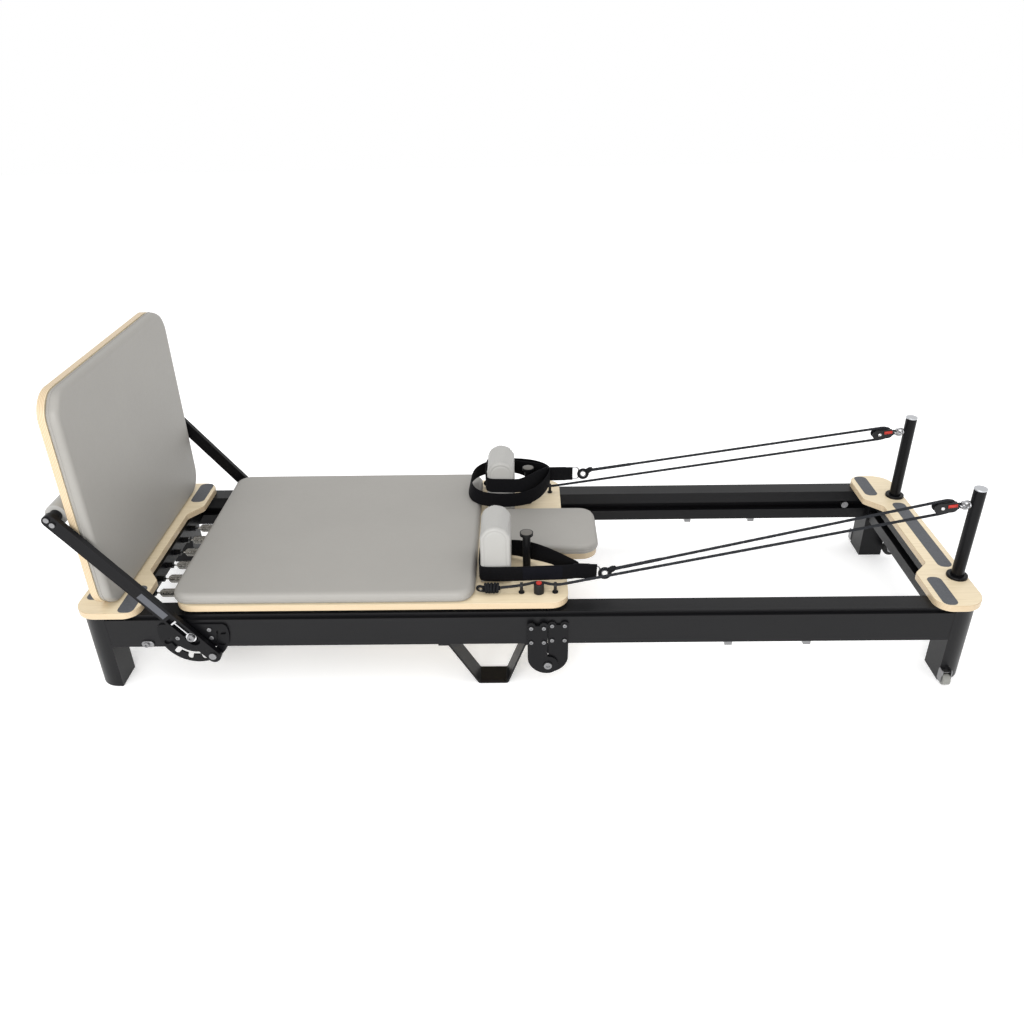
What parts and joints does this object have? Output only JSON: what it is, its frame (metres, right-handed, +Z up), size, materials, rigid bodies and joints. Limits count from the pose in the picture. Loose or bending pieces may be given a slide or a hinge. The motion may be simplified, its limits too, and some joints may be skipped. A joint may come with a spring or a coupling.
{
  "type": "pilates reformer",
  "caption": "Folding pilates reformer: low rail frame with birch end decks, sprung rolling carriage, shoulder rests, headrest, foot bar, jump board, rope posts, pulleys and straps.",
  "frame": {"origin": "on the floor, under the middle of the machine's length and width", "axes": "+X towards the head end with the rope posts, +Y across the frame, +Z up"},
  "size_m": [2.459, 0.795, 0.868],
  "materials": {
    "frame_black": "fine-textured black powder coat over aluminium",
    "birch_ply": "clear satin lacquer, layered edges",
    "grip_rubber": "dark blue-grey, ribbed and matte",
    "pad_vinyl": "warm grey grained vinyl over foam",
    "rest_vinyl": "light grey grained vinyl with stitched seams",
    "steel_black": "satin black powder coat",
    "chrome": "bright plated",
    "spring_steel": "zinc-plated wire",
    "sleeve_vinyl": "pale vinyl over foam",
    "cap_silver": "satin silver",
    "black_plastic": "moulded, fine texture",
    "wheel_rubber": "matte black",
    "roller_nylon": "grey nylon",
    "red_plastic": "glossy red",
    "rope": "braided dark grey cord",
    "webbing": "woven black webbing"
  },
  "bodies": {
    "foot_frame": {"foot_rail_near": "frame_black", "foot_rail_far": "frame_black", "foot_end_rail": "frame_black", "foot_legs": "frame_black", "foot_deck": "birch_ply", "foot_deck_grips": "grip_rubber", "floor_brackets": "frame_black", "spring_bar": "steel_black", "springs": "spring_steel", "gear_plates": "steel_black", "foot_hinge_plates": "steel_black", "foot_bolts": "chrome", "rail_catches": "chrome"},
    "head_frame": {"head_rail_near": "frame_black", "head_rail_far": "frame_black", "head_end_rail": "frame_black", "head_legs": "frame_black", "head_deck": "birch_ply", "head_deck_grips": "grip_rubber", "head_hinge_plates": "steel_black", "head_bolts": "chrome", "rope_posts": "steel_black", "post_caps": "cap_silver", "pulley_blocks": "black_plastic", "pulley_shackles": "chrome", "wheel_brackets": "chrome", "rope_near": "rope", "rope_far": "rope"},
    "carriage": {"carriage_board": "birch_ply", "carriage_pad": "pad_vinyl", "carriage_frame": "steel_black", "strap_pegs": "steel_black", "rope_fittings": "black_plastic", "rope_hanks": "rope", "rope_eyes": "chrome", "straps": "webbing"},
    "headrest": {"headrest_board": "birch_ply", "headrest_pad": "pad_vinyl"},
    "footbar_links": {"footbar_links": "chrome"},
    "footbar": {"footbar_arms": "steel_black", "footbar_tube": "steel_black", "footbar_sleeve": "sleeve_vinyl", "footbar_bolts": "chrome"},
    "jump_board": {"jump_board": "birch_ply", "jump_board_pad": "pad_vinyl", "jump_board_tongues": "steel_black"},
    "shoulder_rest_near": {"shoulder_rest_near": "rest_vinyl"},
    "knob_button_near": {"knob_button_near": "red_plastic"},
    "pulley_sheave_near": {"pulley_sheave_near": "black_plastic"},
    "transport_wheel_near": {"transport_wheel_near": "wheel_rubber"},
    "floor_roller_near": {"floor_roller_near": "roller_nylon"},
    "shoulder_rest_far": {"shoulder_rest_far": "rest_vinyl"},
    "knob_button_far": {"knob_button_far": "red_plastic"},
    "pulley_sheave_far": {"pulley_sheave_far": "black_plastic"},
    "transport_wheel_far": {"transport_wheel_far": "wheel_rubber"},
    "floor_roller_far": {"floor_roller_far": "roller_nylon"},
    "load_wheel_foot_near": {"load_wheel_foot_near": "black_plastic"},
    "load_wheel_foot_far": {"load_wheel_foot_far": "black_plastic"},
    "load_wheel_head_near": {"load_wheel_head_near": "black_plastic"},
    "load_wheel_head_far": {"load_wheel_head_far": "black_plastic"}
  },
  "joints": [
    {"name": "carriage_slide", "type": "slide", "parent": "foot_frame", "child": "carriage", "axis": [1, 0, 0], "range_m": [0, 0.9], "stiffness_N_per_m": 300, "springref_m": -0.05, "deforming": ["springs", "rope_near", "rope_far"]},
    {"name": "frame_fold", "type": "hinge", "parent": "foot_frame", "child": "head_frame", "pos_m": [0.0557, 0, 0.072], "axis": [0, 1, 0], "range_deg": [0, 175]},
    {"name": "footbar_swing", "type": "hinge", "parent": "foot_frame", "child": "footbar_links", "pos_m": [-0.9, 0, 0.186], "axis": [0, -1, 0], "range_deg": [0, 45]},
    {"name": "footbar_lift", "type": "slide", "parent": "footbar_links", "child": "footbar", "axis": [-0.6157, 0, 0.788], "range_m": [0, 0.012]},
    {"name": "headrest_tilt", "type": "hinge", "parent": "carriage", "child": "headrest", "pos_m": [-0.095, 0, 0.264], "axis": [0, -1, 0], "range_deg": [0, 30]},
    {"name": "jump_board_lift", "type": "slide", "parent": "foot_frame", "child": "jump_board", "axis": [0, 0, 1], "range_m": [0, 0.11]},
    {"name": "shoulder_rest_near_lift", "type": "slide", "parent": "carriage", "child": "shoulder_rest_near", "axis": [0, 0, 1], "range_m": [0, 0.06], "deforming": ["straps"]},
    {"name": "knob_press_near", "type": "slide", "parent": "carriage", "child": "knob_button_near", "axis": [0, 0, -1], "range_m": [0, 0.003], "stiffness_N_per_m": 400, "springref_m": -0.001},
    {"name": "pulley_spin_near", "type": "hinge", "parent": "head_frame", "child": "pulley_sheave_near", "pos_m": [1.106, -0.233, 0.476], "axis": [0, 1, 0], "continuous": true},
    {"name": "transport_wheel_near_spin", "type": "hinge", "parent": "head_frame", "child": "transport_wheel_near", "pos_m": [1.219, -0.252, 0.046], "axis": [0, 1, 0], "continuous": true},
    {"name": "floor_roller_near_spin", "type": "hinge", "parent": "head_frame", "child": "floor_roller_near", "pos_m": [1.146, -0.382, 0.016], "axis": [1, 0, 0], "continuous": true},
    {"name": "shoulder_rest_far_lift", "type": "slide", "parent": "carriage", "child": "shoulder_rest_far", "axis": [0, 0, 1], "range_m": [0, 0.06]},
    {"name": "knob_press_far", "type": "slide", "parent": "carriage", "child": "knob_button_far", "axis": [0, 0, -1], "range_m": [0, 0.003], "stiffness_N_per_m": 400, "springref_m": -0.001},
    {"name": "pulley_spin_far", "type": "hinge", "parent": "head_frame", "child": "pulley_sheave_far", "pos_m": [1.106, 0.233, 0.476], "axis": [0, 1, 0], "continuous": true},
    {"name": "transport_wheel_far_spin", "type": "hinge", "parent": "head_frame", "child": "transport_wheel_far", "pos_m": [1.219, 0.252, 0.046], "axis": [0, 1, 0], "continuous": true},
    {"name": "floor_roller_far_spin", "type": "hinge", "parent": "head_frame", "child": "floor_roller_far", "pos_m": [1.146, 0.382, 0.016], "axis": [1, 0, 0], "continuous": true},
    {"name": "load_wheel_foot_near_spin", "type": "hinge", "parent": "carriage", "child": "load_wheel_foot_near", "pos_m": [-0.88, -0.313, 0.1863], "axis": [0, 1, 0], "continuous": true},
    {"name": "load_wheel_foot_far_spin", "type": "hinge", "parent": "carriage", "child": "load_wheel_foot_far", "pos_m": [-0.88, 0.313, 0.1863], "axis": [0, 1, 0], "continuous": true},
    {"name": "load_wheel_head_near_spin", "type": "hinge", "parent": "carriage", "child": "load_wheel_head_near", "pos_m": [0.03, -0.313, 0.1863], "axis": [0, 1, 0], "continuous": true},
    {"name": "load_wheel_head_far_spin", "type": "hinge", "parent": "carriage", "child": "load_wheel_head_far", "pos_m": [0.03, 0.313, 0.1863], "axis": [0, 1, 0], "continuous": true}
  ],
  "couplings": [
    {"joint": "load_wheel_foot_near_spin", "follows": "carriage_slide", "rad_per_m": 76.923},
    {"joint": "load_wheel_foot_far_spin", "follows": "carriage_slide", "rad_per_m": 76.923},
    {"joint": "load_wheel_head_near_spin", "follows": "carriage_slide", "rad_per_m": 76.923},
    {"joint": "load_wheel_head_far_spin", "follows": "carriage_slide", "rad_per_m": 76.923}
  ]
}
